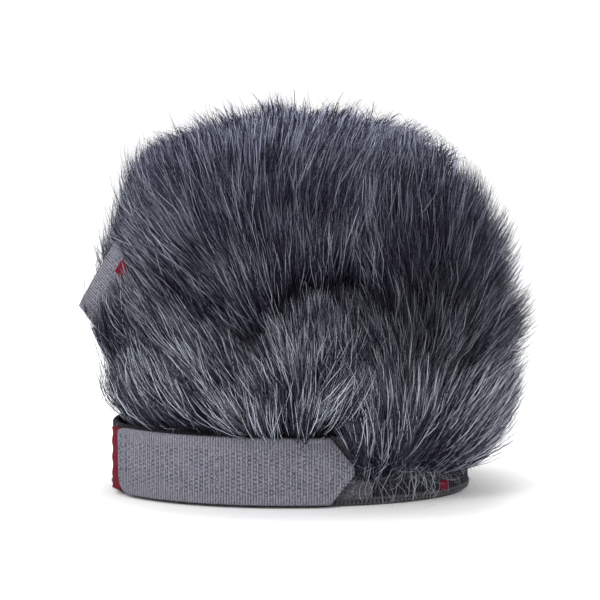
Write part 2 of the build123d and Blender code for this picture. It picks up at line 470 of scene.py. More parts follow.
def even_spread(count, low_up, high_up):
    """Spread points evenly over the hood: a golden-ratio sequence in area up and round it."""
    i = np.arange(count)
    a, b = (0.5 + i * 0.7548776662) % 1, (0.5 + i * 0.5698402910) % 1
    up = np.linspace(low_up, high_up, 400)
    wide, deep, _, _ = hood_levels(up)
    area = np.cumsum(wide + deep)
    turn = np.linspace(0, 2 * pi, 721)
    arc = np.cumsum(np.hypot(HOOD_WIDE * np.sin(turn), HOOD_DEEP * np.cos(turn)))
    return np.interp(b, (arc - arc[0]) / (arc[-1] - arc[0]), turn), \
        np.interp(a, (area - area[0]) / (area[-1] - area[0]), up)


def grow_paths(point, normal, forward, length, lean_root, lean_tip, wave, phase):
    """Grow strands as chains of equal steps.

    Each step goes along the comb direction, tipped out from the cloth by an angle that eases from
    the root's to the tip's, with a slow sideways wave that grows along the strand.
    """
    side = np.cross(normal, forward)
    path = [point]
    for k in range(1, JOINTS):
        t = (k - 0.5) / (JOINTS - 1)
        lean = np.radians(lean_root + (lean_tip - lean_root) * t)[:, None]
        step = forward * np.cos(lean) + normal * np.sin(lean)
        step = step + side * (wave * t * np.sin(phase + 5 * t))[:, None]
        path.append(path[-1] + unit(step) * (length / (JOINTS - 1))[:, None])
    return np.stack(path, 1)


def rotate_in_cloth(rise, right, angle):
    """Return the unit vector that leans from up to the right by an angle in degrees."""
    a = np.radians(angle)[..., None]
    return rise * np.cos(a) + right * np.sin(a)


def draw_in(own, guide, offset, grip, keep):
    """Draw strands in to their guide towards the tip, as hairs of one lock cling together."""
    t = np.linspace(0, 1, JOINTS)[None, :, None] ** 1.4
    together = guide + offset[:, None, :] * keep
    return own * (1 - grip[:, None, None] * t) + together * grip[:, None, None] * t


def seed_locks():
    """Return the roots of the locks: over the hood, and over the corner's skirt outside the band."""
    turn, up = even_spread(LOCKS, 1.0, UP_LENGTH - 0.4)
    hood = hood_frame(turn, up)
    skirt_turn = np.radians(CORNER_SEAM + 64 * ((np.arange(SKIRT_LOCKS) * 0.618034) % 1))
    skirt_z = 8.5 + 14 * ((np.arange(SKIRT_LOCKS) * 0.7548776) % 1)
    skirt = skirt_frame(skirt_turn, skirt_z)
    turns = np.concatenate([turn, skirt_turn])
    return [np.concatenate(pair) for pair in zip(hood, skirt)] + [turns]


def make_pile():
    """Return the paths, side vectors, shades and widths of every strand, in millimetres."""
    point, normal, rise, right, turn = seed_locks()
    x, y, z = point.T
    locks = len(x)
    comb = comb_angle(x, y, z, turn) + rng.normal(0, 5, locks)
    base_lean = lean_out(x, z) * rng.uniform(0.75, 1.35, locks)
    base_length = rng.uniform(25, 31, locks)
    lock_shade = rng.normal(0, 0.05, locks)

    def spread(values, times):
        return np.repeat(values, times, axis=0)

    # tufts round each lock, then hairs round each tuft
    many = locks * TUFTS_PER_LOCK
    p, n, u, r = (spread(v, TUFTS_PER_LOCK) for v in (point, normal, rise, right))
    off_u, off_r = rng.normal(0, 2.1, many), rng.normal(0, 2.1, many)
    off_u[::TUFTS_PER_LOCK], off_r[::TUFTS_PER_LOCK] = 0, 0
    tuft_offset = u * off_u[:, None] + r * off_r[:, None]
    tuft_root = p + tuft_offset - n * ((off_u ** 2 + off_r ** 2) / 90)[:, None]
    comb_t = spread(comb, TUFTS_PER_LOCK) + rng.normal(0, 6, many)
    forward = crown_flow(rotate_in_cloth(u, r, comb_t), tuft_root, n)
    lean_t = spread(base_lean, TUFTS_PER_LOCK) * rng.uniform(0.75, 1.35, many)
    length_t = spread(base_length, TUFTS_PER_LOCK) * rng.uniform(0.85, 1.1, many)
    length_t = length_t * (1 + rng.uniform(0, 0.4, many) * smooth_step((p[:, 0] - 25) / 20))
    length_t = trim_at_parting(*tuft_root.T, length_t)
    bend_t = hug(tuft_root[:, 0], tuft_root[:, 2])
    rise_t = spring_out(tuft_root[:, 2])
    guide = grow_paths(tuft_root, n, forward, length_t, lean_t * 1.9 + rise_t, lean_t * 0.5 - bend_t,
                       rng.normal(0, 0.15, many), rng.uniform(0, 6.28, many))
    lock_guide = spread(guide[::TUFTS_PER_LOCK], TUFTS_PER_LOCK)
    guide = draw_in(guide, lock_guide, tuft_offset, np.full(many, 0.28), 0.6)

    total = many * HAIRS_PER_TUFT
    p, n, f, g = (spread(v, HAIRS_PER_TUFT) for v in (tuft_root, n, forward, guide))
    s = np.cross(n, f)
    off_f, off_s = rng.normal(0, 1.25, total), rng.normal(0, 1.25, total)
    offset = f * off_f[:, None] + s * off_s[:, None]
    turn_by = np.radians(rng.normal(0, 9, total))[:, None]
    low_edge = np.where(tuft_root[:, 2] < 15, 0.028, 0.012) * (tuft_root[:, 2] < 26)
    stray = (rng.random(total) < spread(low_edge, HAIRS_PER_TUFT))[:, None]
    turn_by = np.where(stray, rng.uniform(-2.9, 2.9, total)[:, None], turn_by)
    ahead = f * np.cos(turn_by) + s * np.sin(turn_by)
    lean = spread(lean_t, HAIRS_PER_TUFT) * rng.uniform(0.7, 1.35, total)
    reach = spread(length_t, HAIRS_PER_TUFT) * rng.uniform(0.6, 1.08, total) * np.where(stray[:, 0], 0.6, 1)
    own = grow_paths(p + offset, n, ahead, reach, lean * 1.9 + spread(rise_t, HAIRS_PER_TUFT),
                     lean * 0.5 - spread(bend_t, HAIRS_PER_TUFT),
                     rng.normal(0, 0.2, total) + 0.9 * stray[:, 0], rng.uniform(0, 6.28, total))
    grip = rng.uniform(0.05, 0.6, total) * ~stray[:, 0]
    paths = clip_to_outline(draw_in(own, g, offset, grip, 0.35))
    bright = rng.random(total) < spread(rng.uniform(0.02, 0.46, many), HAIRS_PER_TUFT)
    shade = np.where(bright, rng.uniform(0.45, 1.0, total), rng.uniform(0.0, 0.10, total))
    shade = shade * silver_with_painted_shade_and_light(*paths[:, 0].T)
    shade = shade + spread(spread(lock_shade, TUFTS_PER_LOCK), HAIRS_PER_TUFT)
    shade = np.where(stray[:, 0], 0.8, np.clip(shade, 0, 1))
    width = rng.uniform(0.16, 0.24, total) + 0.05 * (shade > 0.3)
    return paths, s, shade, np.where(stray[:, 0], 0.12, width)


def panel_of(roots):
    """Say which cut panel each root grows on."""
    x, y, z = roots.T
    corner = (y < 0) & (x > 22.5 + 0.1 * (z - 22)) & (z < TIER_SEAM)
    names = np.where(z > CROWN_SEAM, "fur_crown", np.where(y < 0, "fur_front_upper", "fur_back_upper"))
    low = np.where(corner, "fur_front_corner", np.where(y < 0, "fur_front_lower", "fur_back_lower"))
    return np.where(z < TIER_SEAM, low, names)


def hair_mesh(name, paths, side, shade, width, material):
    """Make strands as tapering ribbons, two points at each joint, with rounded shading across."""
    count = len(paths)
    along = np.linspace(0, 1, JOINTS)
    taper = np.interp(along, [0, 0.5, 0.85, 1], [0.9, 1.0, 0.6, 0.08])
    across = side[:, None, :] * (width[:, None] * taper[None, :])[..., None] / 2
    vertices = np.stack([paths - across, paths + across], 2).reshape(-1, 3)
    first = (np.arange(count)[:, None] * JOINTS + np.arange(JOINTS - 1)) * 2
    quads = np.stack([first, first + 1, first + 3, first + 2], -1).reshape(-1, 4)
    obj = new_piece(name, vertices, quads, material)
    left = np.floor(shade * (SHADE_COLUMNS - 1)) / SHADE_COLUMNS
    u = np.stack([left, left + 1 / SHADE_COLUMNS, left + 1 / SHADE_COLUMNS, left], -1)
    # painted light: hairs on the corner's skirt, on the lowest rows above the band and near the side tab
    # start further along the map, which lightens them against the shade that the pile and the tab cast there
    low = 1 - smooth_step((paths[:, 0, 2] - 22) / 14)
    low = 0.36 * low + 0.35 * bell(paths[:, 0, 0], paths[:, 0, 2], -50, 38, 12, 12)
    start = np.where(paths[:, 0, 2] < 20, 0.46, low + rng.uniform(0, 0.1, count))[:, None]
    height = start + (rng.uniform(0.72, 1, (count, 1)) - start) * along[None]
    v = np.stack([height[:, :-1], height[:, :-1], height[:, 1:], height[:, 1:]], -1)
    uv = np.stack([np.broadcast_to(u[:, None, :], v.shape), v], -1)
    layer = obj.data.uv_layers.new(name=HAIR_MAP)
    layer.data.foreach_set("uv", uv.astype(np.float32).ravel())
    tangent = unit(np.gradient(paths, axis=1))
    facing = unit(np.cross(side[:, None, :] + 0 * tangent, tangent))
    edge = unit(np.stack([facing - side[:, None] * 0.9, facing + side[:, None] * 0.9], 2))
    obj.data.normals_split_custom_set_from_vertices(edge.reshape(-1, 3).tolist())
    return obj


def clear_of_tab(paths):
    """Keep the hairs off the side tab.

    Hairs rooted under it are pressed below its plane. Most of those rooted beyond its lower or
    right edge rise over it instead, lifted more and more up to the joint that reaches it.
    """
    local = (paths - TAB_MIDDLE) @ TAB_AXES.T
    along, across, off = local[..., 0], local[..., 1], local[..., 2]
    inside = (along > -9) & (along < 17.4) & (abs(across) < 10.8) & (off > -14) & (off < 20)
    outside_root = (across[:, 0] > 8.5) | ((along[:, 0] > 15) & (across[:, 0] > 1))
    over = outside_root & inside.any(1) & (along[:, 0] > -3) & (rng.random(len(paths)) < 0.7)
    need = np.where(inside, rng.uniform(0.7, 1.6, len(paths))[:, None] - off, 0).max(1)
    first = np.maximum(inside.argmax(1), 1)
    rise = np.minimum(np.arange(JOINTS)[None] / first[:, None], 1) * np.maximum(need, 0)[:, None]
    press = np.where(inside & (off > -3), np.minimum(off, -0.9) - off, 0)
    shift = np.where(over[:, None], rise, press)
    laid = paths + shift[..., None] * TAB_AXES[2]
    stop = rng.uniform(-5.5, 4, len(paths))
    ratio = (across[:, 0] - stop) / np.maximum(across[:, 0] - across[:, -1], 0.1)
    ratio = np.where(over & (across[:, -1] < stop) & (across[:, 0] > stop), np.clip(ratio, 0.2, 1), 1)
    return laid[:, :1] + (laid - laid[:, :1]) * ratio[:, None, None]


def build_pile():
    """Make the strand pieces panel by panel, each under two hundred thousand triangles."""
    material = hair_material()
    paths, side, shade, width = make_pile()
    keep = paths[:, 0, 2] > 7.5
    paths, side, shade, width = clear_of_tab(paths[keep]), side[keep], shade[keep], width[keep]
    twist = np.radians(rng.normal(0, 25, len(paths)))[:, None]
    normal = unit(np.cross(side, paths[:, -1] - paths[:, 0]))
    side = unit(side * np.cos(twist) + normal * np.sin(twist))
    panels = panel_of(paths[:, 0])
    made = {}
    for panel in np.unique(panels):
        chosen = np.flatnonzero(panels == panel)
        chunks = np.array_split(chosen, int(np.ceil(len(chosen) / HAIRS_PER_PIECE)))
        made[str(panel)] = [
            hair_mesh(f"{panel}_pile_{i + 1}", paths[c], side[c], shade[c], width[c], material)
            for i, c in enumerate(chunks)]
    return made


# ---------------------------------------------------------------- backing cloth

def grid_quads(rows, columns, closed=False):
    """Return the quads of a grid of points, wrapping round when it is closed."""
    r = np.arange(rows - 1)[:, None]
    c = np.arange(columns if closed else columns - 1)[None, :]
    nxt = (c + 1) % columns
    return np.stack([r * columns + c, r * columns + nxt, (r + 1) * columns + nxt,
                     (r + 1) * columns + c], -1).reshape(-1, 4)


def up_at_height(z):
    """Return the length up the hood at a height."""
    return np.interp(z, PROFILE[:, 4], PROFILE[:, 0])


def two_layers(outer, inner, wrap=False, cap=False):
    """Join two grids of points into a closed cloth. Return vertices and quads.

    The grids are rows going up and columns going round to the right. The outer faces out, the
    inner in, and strips close the borders. A cap closes the last row of a wrapped cloth.
    """
    rows, columns, _ = outer.shape
    count, last = rows * columns, (rows - 1) * columns
    face = grid_quads(rows, columns, closed=wrap)
    c = np.arange(columns if wrap else columns - 1)
    d = (c + 1) % columns
    parts = [face, face[:, ::-1] + count, np.stack([d, c, count + c, count + d], 1)]
    if cap:
        k = np.arange(columns // 2 - 1)
        lid = np.stack([k, k + 1, columns - 2 - k, columns - 1 - k], 1) + last
        parts += [lid, lid[:, ::-1] + count]
    else:
        parts.append(np.stack([c, d, count + d, count + c], 1) + last)
    if not wrap:
        r = np.arange(rows - 1) * columns
        q = r + columns
        parts.append(np.stack([r, q, q + count, r + count], 1))
        parts.append(np.stack([q, r, r + count, q + count], 1) + columns - 1)
    return np.concatenate([outer.reshape(-1, 3), inner.reshape(-1, 3)]), np.concatenate(parts)


def hood_grid(turn, up, inset, drop=0.0):
    """Return a grid of points a distance inside the hood surface. Rows below it go straight down."""
    wide, deep, shift, z = hood_levels(np.maximum(up, 0))
    z = z + np.minimum(up, 0) - drop
    wide, deep = np.maximum(wide - inset, 0.8), np.maximum(deep - inset, 0.6)
    x = shift[:, None] + wide[:, None] * np.cos(turn)
    y = deep[:, None] * np.sin(turn)
    return np.stack([x, y, np.broadcast_to(z[:, None], x.shape)], -1)


def build_hood():
    """Make the pile, and under it the six cut panels of backing cloth and the corner's skirt."""
    pile = build_pile()
    knit = backing_material()
    hem, top_level = 15.6, HOOD_WAIST + DOME_RISE
    plan = (("fur_front_lower", 180, CORNER_SEAM, hem, TIER_SEAM),
            ("fur_front_corner", CORNER_SEAM, 360, hem, TIER_SEAM),
            ("fur_back_lower", 0, 180, hem, TIER_SEAM),
            ("fur_front_upper", 180, 360, TIER_SEAM, CROWN_SEAM),
            ("fur_back_upper", 0, 180, TIER_SEAM, CROWN_SEAM),
            ("fur_crown", 0, 360, CROWN_SEAM, top_level))
    for name, first, last, low, high in plan:
        crown = name == "fur_crown"
        turn = np.radians(np.linspace(first, last, 61)[:None if not crown else -1])
        start = up_at_height(low) if low > HOOD_FOOT else low - HOOD_FOOT
        up = np.linspace(start, UP_LENGTH - 0.02 if crown else up_at_height(high), 15)
        outer, inner = hood_grid(turn, up, 0), hood_grid(turn, up, 0.35, 0.2 * crown)
        vertices, quads = two_layers(outer, inner, wrap=crown, cap=crown)
        cloth = new_piece(name + "_cloth", vertices, quads, knit)
        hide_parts(name)
    turn, level = np.radians(np.linspace(295.5, 358.5, 70)), np.linspace(7.2, 26, 14)
    reach = smooth_step((level - 20.5) / 5.5)[:, None, None]
    top = hood_grid(turn, np.full(14, up_at_height(26.0)), -0.3)
    wall = np.stack(np.broadcast_arrays(55.2 * np.cos(turn), 36.2 * np.sin(turn), level[:, None]), -1)
    outer = wall * (1 - reach) + top * reach
    outer[..., 2] = level[:, None]
    inner = outer - 0.3 * unit(outer * [1 / 54 ** 2, 1 / 35 ** 2, 0])
    vertices, quads = two_layers(outer, inner)
    skirt = new_piece("fur_front_corner_skirt_cloth", vertices, quads, knit)


build_hood()


# ---------------------------------------------------------------- mouth band

BAND_WIDE, BAND_DEEP = 54.0, 35.0
HALVES = (("band_front", 180.3, 359.7), ("band_back", 0.3, 179.7))


def band_line(turn, grow, z):
    """A point on an upright ellipse that stands a distance out from the band's face."""
    return np.stack([(BAND_WIDE + grow) * np.cos(turn), (BAND_DEEP + grow) * np.sin(turn), z + 0 * turn], -1)


def turn_at_length(start, end, step, grow=0.0):
    """Return ellipse angles at about equal steps of length between two directions in degrees.

    The length is measured on the ellipse that stands the given distance out from the band's face.
    """
    def to_angle(direction):
        a = radians(direction)
        base = np.arctan2(BAND_WIDE * sin(a), BAND_DEEP * cos(a))
        return base + 2 * pi * round((a - base) / (2 * pi))
    fine = np.linspace(to_angle(start), to_angle(end), 4000)
    steps = np.linalg.norm(np.diff(band_line(fine, grow, 0), axis=0), axis=1)
    length = np.concatenate([[0], np.cumsum(steps)])
    count = max(3, int(round(length[-1] / step)) + 1)
    return np.interp(np.linspace(0, length[-1], count), length, fine), np.linspace(0, length[-1], count)


def box_outline(thickness, low, high, rows, round_by):
    """Return offsets (out, z) round a flat section with rounded edges, outer face first, going up.

    Both faces are straight rows, and each end is a half turn squashed to the thickness.
    """
    z = np.linspace(low + round_by, high - round_by, rows)
    half = thickness / 2
    bend = np.linspace(0, pi, 9)[1:-1]
    top = np.stack([half * np.cos(bend), high - round_by + round_by * np.sin(bend)], 1)
    outer = np.stack([np.full(rows, half), z], 1)
    bottom = np.stack([-half * np.cos(bend), low + round_by - round_by * np.sin(bend)], 1)
    return np.concatenate([outer, top, outer[::-1] * [-1, 1], bottom])


def closed_slab(ring):
    """Join rings of points, one ring to a row, into a slab with closed ends. Return points and quads."""
    rows, columns, _ = ring.shape
    k = np.arange(columns // 2 - 1)
    cap = np.stack([k, k + 1, columns - 2 - k, columns - 1 - k], 1)
    side = grid_quads(rows, columns, closed=True)[:, ::-1]
    return ring.reshape(-1, 3), np.concatenate([side, cap, cap[:, ::-1] + (rows - 1) * columns])


def slab_along(turns, middle, outline, ripple=None):
    """Carry a section round the band between angles. Return points, quads and the grid's shape."""
    turn, out = np.meshgrid(turns, outline[:, 0], indexing="ij")
    z = np.broadcast_to(outline[:, 1], out.shape)
    if ripple is not None:
        out = out + ripple(turn, z, out)
    return *closed_slab(band_line(turn, middle + out, z)), out.shape


def lay_cloth_map(obj, along, up, shape):
    """Give a slab a UV map in millimetres: along its length by row, and up its width by point."""
    u = np.broadcast_to(along[:, None], shape).ravel()
    v = np.broadcast_to(up, shape).ravel()
    index = np.zeros(len(obj.data.loops), np.int32)
    obj.data.loops.foreach_get("vertex_index", index)
    layer = obj.data.uv_layers.new(name="cloth")
    layer.data.foreach_set("uv", np.stack([u[index], v[index]], 1).astype(np.float32).ravel())


def knit_material():
    """Charcoal rib knit: slanted loops along each rib, with a little fuzz, coloured darker in its hollows
    and lighter on its loops as painted shade and light.
    """
    n = Nodes("band_rib_knit", 0.9, Specular_IOR_Level=0.2)
    u, v = n.uv("cloth")
    rib = n.maths("PINGPONG", u, 0.55)
    slant = n.maths("ADD", v, n.maths("MULTIPLY", rib, 1.3))
    loops = n.maths("SINE", n.maths("MULTIPLY", slant, 2 * pi / 0.8))
    ribs = n.maths("SINE", n.maths("MULTIPLY", u, 2 * pi / 1.1))
    height = n.maths("ADD", n.maths("MULTIPLY", loops, 0.5), n.maths("MULTIPLY", ribs, 0.5))
    height = n.maths("ADD", height, n.maths("MULTIPLY", n.noise(2500, 2), 0.8))
    n.bump(height, 0.7, 0.0004)
    # painted shade and light: the colour follows the knit's height, dark in the hollows and pale on the
    # loops
    level = n.maths("ADD", n.maths("MULTIPLY", height, 0.42), 0.18, clamp=True)
    lint = n.maths("MULTIPLY", n.maths("SUBTRACT", n.noise(1300, 4), 0.6), 6, clamp=True)
    knit = n.ramp(level, [(0.1, (0.004, 0.003, 0.006)), (0.5, (0.024, 0.020, 0.030)),
                          (0.95, (0.12, 0.105, 0.14))])
    return n.colour(n.mix(n.maths("MULTIPLY", lint, 0.8), knit, (0.19, 0.175, 0.215)))


def build_band():
    """Make the two knitted halves of the band, each ribbed and a little wavy."""
    knit = knit_material()
    outline = box_outline(1.8, 0.5, 21.2, 9, 0.8)

    def ripple(turn, z, out):
        ribs = 0.07 * np.sin(turn * 258) * np.sign(out)
        return ribs + 0.25 * np.sin(turn * 7 + 0.8) * smooth_step((z - 3) / 10) * smooth_step((19 - z) / 4)

    for name, start, end in HALVES:
        turns, length = turn_at_length(start, end, 0.275)
        vertices, quads, shape = slab_along(turns, -0.9, outline, ripple)
        band = new_piece(name + "_knit", vertices, quads, knit)
        lay_cloth_map(band, length, outline[:, 1], shape)
        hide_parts(name)


# ---------------------------------------------------------------- threads

def tube_along(paths, radius, sides=6):
    """Sweep a round section along each of several equal-length paths. Return vertices and quads.

    The section at each point is spanned by two unit vectors square to the path's direction there.
    """
    count, steps, _ = paths.shape
    tangent = unit(np.gradient(paths, axis=1))
    helper = np.where(np.abs(tangent[..., 2:]) < 0.8, np.array([0, 0, 1.0]), np.array([1.0, 0, 0]))
    first = unit(np.cross(tangent, helper))
    second = np.cross(tangent, first)
    ring = np.linspace(0, 2 * pi, sides, endpoint=False)
    ends = np.ones(steps)
    ends[0] = ends[-1] = 0.15
    size = (radius * ends)[None, :, None, None]
    vertices = paths[:, :, None] + size * (first[:, :, None] * np.cos(ring)[None, None, :, None]
                                           + second[:, :, None] * np.sin(ring)[None, None, :, None])
    one = grid_quads(steps, sides, closed=True)
    quads = one[None] + (np.arange(count) * steps * sides)[:, None, None]
    return vertices.reshape(-1, 3), quads.reshape(-1, 4)


def thread_material(name, colour):
    """Twisted sewing thread: fine slanted strands with a soft sheen."""
    n = Nodes(name, 0.6, Sheen_Weight=0.3)
    twist = n.noise(4000, 2)
    n.bump(twist, 0.5, 0.0002)
    dark = tuple(c * 0.5 for c in colour)
    return n.colour(n.ramp(twist, [(0.3, dark), (0.7, colour)]))


def build_overlock():
    """Make the overlocked lower edge: one thread that loops down, under the edge and back up."""
    thread = thread_material("overlock_thread", (0.036, 0.032, 0.042))
    for half, start, end in HALVES:
        name = half.replace("band", "overlock")
        turns, length = turn_at_length(start, end, 0.1)
        loops = int(length[-1] / 1.25)
        t = np.linspace(0, loops, loops * 12 + 1)
        round_edge = 0.5 - 0.5 * np.cos(2 * pi * t)
        turn = np.interp(t / loops, np.linspace(0, 1, len(turns)), turns)
        out = -0.9 + 1.2 * np.cos(pi * round_edge)
        z = 0.30 + 1.9 * np.abs(np.cos(pi * round_edge)) ** 3 + 0.12 * np.sin(7.3 * t)
        path = band_line(turn, out, z)
        chain = band_line(turn, 0.25 + 0.1 * np.sin(2 * pi * t), 2.3 + 0.22 * np.cos(2 * pi * t))
        vertices, quads = tube_along(np.stack([path, chain]), 0.24, 6)
        edge = new_piece(name + "_stitching", vertices, quads[:, ::-1], thread)
        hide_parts(name)


# ---------------------------------------------------------------- hook tape

RIB_PITCH = 0.80


def tape_material():
    """Woven back of grey hook tape: fine ribs across and plain edges, with painted shade in its pits, rib
    crests painted lighter and small painted glints.

    The ribs are a wave along the tape. A pit's painted shade sits where every second rib's valley meets a
    row's valley, neighbouring columns shifted by half a row, and the pits and glints fade out at the woven
    edges.
    """
    n = Nodes("hook_tape", 0.75, Specular_IOR_Level=0.2, Sheen_Weight=0.1, Sheen_Roughness=0.5)
    u, v = n.uv("cloth")
    rib, row = RIB_PITCH, 1.25

    def wave(value, pitch, phase=0.0):
        angle = n.maths("MULTIPLY", value, 2 * pi / pitch)
        return n.maths("COSINE", n.maths("ADD", angle, phase))

    ribs = wave(u, rib)
    column = n.maths("FLOOR", n.maths("DIVIDE", u, 2 * rib))
    shift = n.maths("MULTIPLY", n.maths("MODULO", column, 2), pi)
    low = n.maths("MULTIPLY", n.maths("SUBTRACT", 1, wave(u, 2 * rib)),
                  n.maths("SUBTRACT", 1, wave(v, row, shift)))
    field = n.maths("MULTIPLY", n.maths("MULTIPLY", n.maths("SUBTRACT", v, 3.4), 0.8, clamp=True),
                    n.maths("MULTIPLY", n.maths("SUBTRACT", 18.0, v), 0.8, clamp=True), clamp=True)
    patchy = n.noise(140, 3)
    # painted shade: the pits are darkened as the shadow in the weave's hollows
    painted_pit_shade = n.maths("MULTIPLY", n.maths("MULTIPLY", n.maths("SUBTRACT", low, 1.6), 0.9, clamp=True), field)
    painted_pit_shade = n.maths("MULTIPLY", painted_pit_shade, n.maths("SUBTRACT", n.maths("MULTIPLY", n.noise(400, 2), 2.2), 0.5),
                   clamp=True)
    # painted highlight: small pale specks of glint on the weave
    painted_glint = n.maths("MULTIPLY", n.maths("SUBTRACT", n.noise(2600, 2), 0.53), 9, clamp=True)
    painted_glint = n.maths("MULTIPLY", painted_glint, n.maths("ADD", n.maths("MULTIPLY", field, 0.35), 0.2))
    fuzz = n.noise(2600, 3)
    height = n.maths("SUBTRACT", n.maths("MULTIPLY", ribs, 0.4), n.maths("MULTIPLY", painted_pit_shade, 1.2))
    n.bump(n.maths("ADD", height, n.maths("MULTIPLY", fuzz, 0.9)), 0.6, 0.0003)
    # painted light and shade: the rib crests are coloured lighter than the valleys
    level = n.maths("ADD", n.maths("MULTIPLY", ribs, 0.18), n.maths("MULTIPLY", fuzz, 0.95))
    level = n.maths("ADD", level, n.maths("MULTIPLY", patchy, 0.1))
    cloth = n.ramp(level, [(0.25, (0.045, 0.045, 0.062)), (0.5, (0.122, 0.121, 0.150)),
                           (0.75, (0.24, 0.24, 0.28))])
    cloth = n.mix(painted_glint, cloth, (0.27, 0.27, 0.315))
    return n.colour(n.mix(n.maths("MULTIPLY", painted_pit_shade, 0.95), cloth, (0.035, 0.036, 0.055)))


def hook_material():
    """Clear grey nylon of the hooks."""
    n = Nodes("hook_nylon", 0.35)
    tint = n.noise(900, 1)
    return n.colour(n.ramp(tint, [(0.3, (0.10, 0.10, 0.12)), (0.7, (0.17, 0.17, 0.20))]))


STRAP_MIDDLE, STRAP_THICK, STRAP_LOW, STRAP_HIGH = 2.0, 1.2, 1.0, 21.0
STRAP_ROOT, STRAP_FOLD, STRAP_BREAK = 196.5, 202.75, 254.25
STRAP_TIP_X, STRAP_POINT, STRAP_OUT = 19.7, 8.0, 2.6


def strap_slab(start, end, first_length, pointed=False, sewn=False):
    """Return the strap's slab between two directions, with its section narrowed at a shaped end.

    A pointed end narrows in a straight line to the middle of the width, and the sewn end has its
    lower corner cut to a quarter circle.
    """
    turns, length = turn_at_length(start, end, RIB_PITCH / 4, STRAP_MIDDLE)
    outline = box_outline(STRAP_THICK, 0, 1, 22, 0.03)
    turn, out = np.meshgrid(turns, outline[:, 0], indexing="ij")
    x = (BAND_WIDE + STRAP_MIDDLE) * np.cos(turns)
    low, high = np.full(len(turns), STRAP_LOW), np.full(len(turns), STRAP_HIGH)
    if pointed:
        narrow = np.clip((x - (STRAP_TIP_X - STRAP_POINT)) / STRAP_POINT, 0, 0.985)
        narrow = narrow * (STRAP_HIGH - STRAP_LOW) / 2
        low, high = low + narrow, high - narrow
    if sewn:
        near = np.clip(1 - length / 4.5, 0, 1)
        low = low + 4.5 * (1 - np.sqrt(np.maximum(1 - near ** 2, 0)))
        high = high - 1.2 * (1 - np.sqrt(np.maximum(1 - near ** 2, 0)))
    share = outline[:, 1]
    z = low[:, None] + (high - low)[:, None] * share[None, :]
    s = first_length + length
    weave = 0.045 * np.cos(2 * pi * s / RIB_PITCH)[:, None] * np.sign(out)
    sag = 0.18 * np.sin(s / 9.0 + 1.0)[:, None] * (share[None, :] - 0.5)
    return *closed_slab(band_line(turn, STRAP_MIDDLE + out + weave + sag, z)), s, z, out.shape


def hooks_on(directions, rows, name, body, material):
    """Make rows of small nylon hooks on the strap's inner face, each an arch that turns back."""
    turns, _ = turn_at_length(*directions, 0.2)
    across = 11
    i, j = np.meshgrid(np.arange(rows), np.arange(across), indexing="ij")
    at = np.interp((i + 0.5 + 0.5 * (j % 2)).ravel() / (rows + 0.5), np.linspace(0, 1, len(turns)), turns)
    z = (STRAP_LOW + 2.6 + (STRAP_HIGH - STRAP_LOW - 5.2) * (j + 0.5) / across).ravel()
    bend = np.linspace(0, 1.25 * pi, 8)
    lift = 0.5 * np.sin(bend * 0.72) + 0.35 * np.sin(np.minimum(bend, pi) / 2)
    drift = 0.45 * (1 - np.cos(bend))
    base = STRAP_MIDDLE - STRAP_THICK / 2 + 0.05
    turn = at[:, None] + drift[None] / 45
    paths = band_line(turn, base - lift[None] + 0 * turn, z[:, None] + 0 * turn)
    vertices, quads = tube_along(paths, 0.13, 4)
    new_piece(name, vertices, quads, material, body=body)


def build_strap():
    """Make the strap as two lengths, one from its sewn end and one from part way along on to its point."""
    tape, nylon = tape_material(), hook_material()
    middle = (STRAP_FOLD + STRAP_BREAK) / 2 + 6
    first = strap_slab(STRAP_ROOT, middle, 0.0, sewn=True)
    end_direction = degrees(np.arctan2(-36.0, STRAP_TIP_X))
    second = strap_slab(middle, 360 + end_direction, first[2][-1], pointed=True)
    for name, parts, bodies, node, pivot, reach in (
            ("strap_root_tape", first, ("hood", "strap"), ("strap_root", "strap_middle"),
             STRAP_FOLD, (-2.0, 7.0)),
            ("strap_point_tape", second, ("strap", "strap_end"), ("strap_tip",),
             STRAP_BREAK, (-5.0, 5.0))):
        vertices, quads, s, z, shape = parts
        piece = new_piece(name, vertices, quads, tape, body=None)
        lay_cloth_map(piece, s, z, shape)
        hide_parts(*node)
        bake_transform(piece)
    hooks_on((212, 250), 16, "strap_middle_hooks", "strap", nylon)
    hooks_on((259, 286), 15, "strap_tip_hooks", "strap_end", nylon)


# ---------------------------------------------------------------- loop tape

def loop_tape_material():
    """Brushed loop tape: a soft mat of fine tangled loops."""
    n = Nodes("loop_tape", 0.95, Specular_IOR_Level=0.15, Sheen_Weight=0.35)
    mat = n.noise(1500, 4)
    n.bump(mat, 0.8, 0.0004)
    return n.colour(n.ramp(mat, [(0.3, (0.024, 0.023, 0.030)), (0.5, (0.065, 0.062, 0.080)),
                                 (0.72, (0.15, 0.147, 0.17))]))


def build_loop_patch():
    """Make the loop tape under the strap's point, with small loops standing on it."""
    cloth = loop_tape_material()
    start = degrees(np.arctan2(-35.0, -8.0)) + 360
    end = degrees(np.arctan2(-31.6, 24.0)) + 360
    turns, length = turn_at_length(start, end, 0.4)
    outline = box_outline(0.7, 2.4, 20.8, 20, 0.25)
    vertices, quads, shape = slab_along(turns, 0.38, outline)
    patch = new_piece("loop_tape", vertices, quads, cloth)
    lay_cloth_map(patch, length, outline[:, 1], shape)
    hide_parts("loop_patch")
    count = 1700
    at = rng.uniform(turns[0] + 0.01, turns[-1] - 0.01, count)
    z = rng.uniform(2.9, 20.3, count)
    swing = rng.uniform(0, 2 * pi, count)[:, None]
    bend = np.linspace(0, pi, 5)[None]
    reach = rng.uniform(0.3, 0.7, count)[:, None] * (1 - np.cos(bend))
    lift = 0.7 + rng.uniform(0.15, 0.38, count)[:, None] * np.sin(bend)
    paths = band_line(at[:, None] + reach * np.cos(swing) / 45, lift, z[:, None] + reach * np.sin(swing))
    vertices, quads = tube_along(paths, 0.07, 3)
    new_piece("loop_tape_loops", vertices, quads, cloth)


THREAD_RADIUS = 0.2


